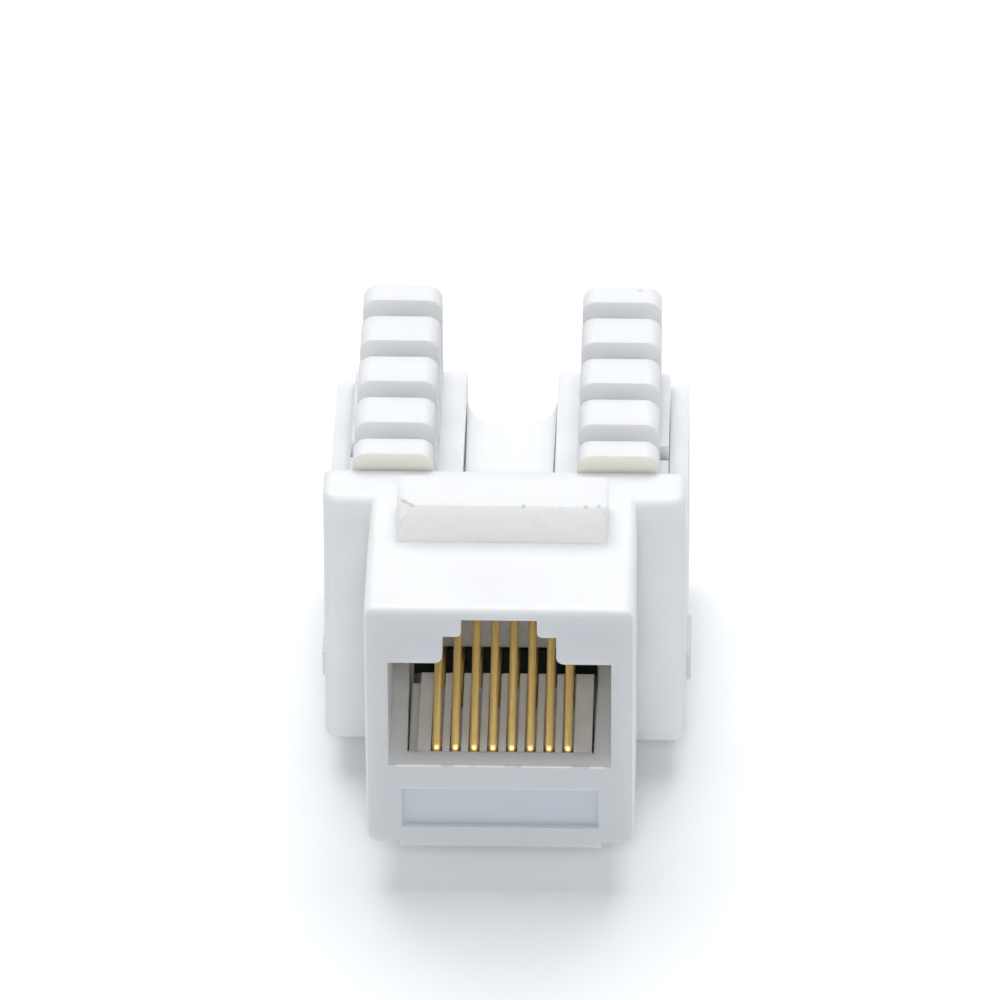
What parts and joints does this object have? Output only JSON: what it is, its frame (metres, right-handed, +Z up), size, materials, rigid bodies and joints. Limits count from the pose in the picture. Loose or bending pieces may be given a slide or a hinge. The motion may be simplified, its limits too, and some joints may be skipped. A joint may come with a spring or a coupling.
{
  "type": "keystone jack",
  "caption": "White snap-in keystone jack: a modular data socket in a square nose with a lug and a springing latch, and two rows of punch-down teeth on the wide body behind.",
  "frame": {"origin": "middle of the lower front edge of the nose, at the height of the nose's flat underside", "axes": "+X across the jack to the right seen from the front, +Y from the front face towards the rear, +Z up, towards the key groove and the punch-down teeth"},
  "size_m": [0.0204, 0.0296, 0.0208],
  "materials": {
    "white_plastic": "smooth moulded, slightly glossy",
    "comb_plastic": "moulded, warm grey-white",
    "gold_plate": "gold plated, polished",
    "tin_plate": "tin plated, satin",
    "board": "green solder mask"
  },
  "bodies": {
    "root": {"front_housing": "white_plastic", "idc_block": "white_plastic", "base_cover": "white_plastic", "contact_comb": "comb_plastic", "circuit_board": "board", "jack_contact_1": "gold_plate", "jack_contact_2": "gold_plate", "jack_contact_3": "gold_plate", "jack_contact_4": "gold_plate", "jack_contact_5": "gold_plate", "jack_contact_6": "gold_plate", "jack_contact_7": "gold_plate", "jack_contact_8": "gold_plate", "idc_contact_1": "tin_plate", "idc_contact_2": "tin_plate", "idc_contact_3": "tin_plate", "idc_contact_4": "tin_plate", "idc_contact_5": "tin_plate", "idc_contact_6": "tin_plate", "idc_contact_7": "tin_plate", "idc_contact_8": "tin_plate"}
  },
  "joints": []
}
